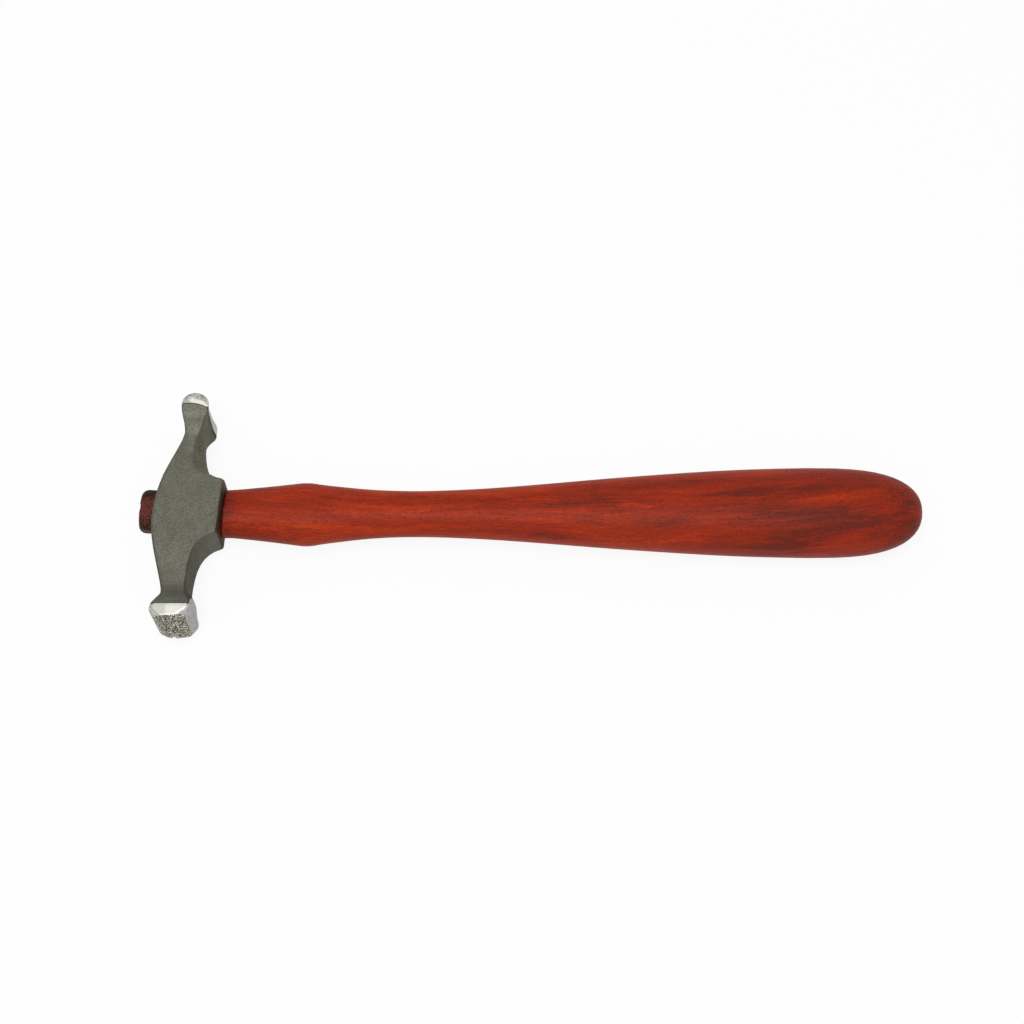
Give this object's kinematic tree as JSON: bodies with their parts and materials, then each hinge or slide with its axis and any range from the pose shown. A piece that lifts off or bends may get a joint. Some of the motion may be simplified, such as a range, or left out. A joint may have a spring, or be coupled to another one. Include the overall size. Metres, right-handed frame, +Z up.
{
  "type": "raising hammer",
  "caption": "Raising hammer on its side: dark cast-steel head with a broad and a narrow rounded cross face, ground bright, wedged on a swelled red hardwood handle.",
  "frame": {"origin": "on the surface that the hammer lies on, under the middle of its bounding box", "axes": "+X along the handle from the head to the butt, +Y towards the narrow peen, +Z up through the cheeks"},
  "size_m": [0.2394, 0.0754, 0.022],
  "materials": {
    "head_steel": "blasted dark grey, with both striking ends ground bright",
    "handle_wood": "oiled red hardwood with dark streaks",
    "wedge_wood": "dark hardwood, trimmed end grain",
    "wedge_steel": "plain rolled steel"
  },
  "bodies": {
    "root": {"hammer_head": "head_steel", "handle": "handle_wood", "wood_wedge": "wedge_wood", "steel_wedge": "wedge_steel"}
  },
  "joints": []
}
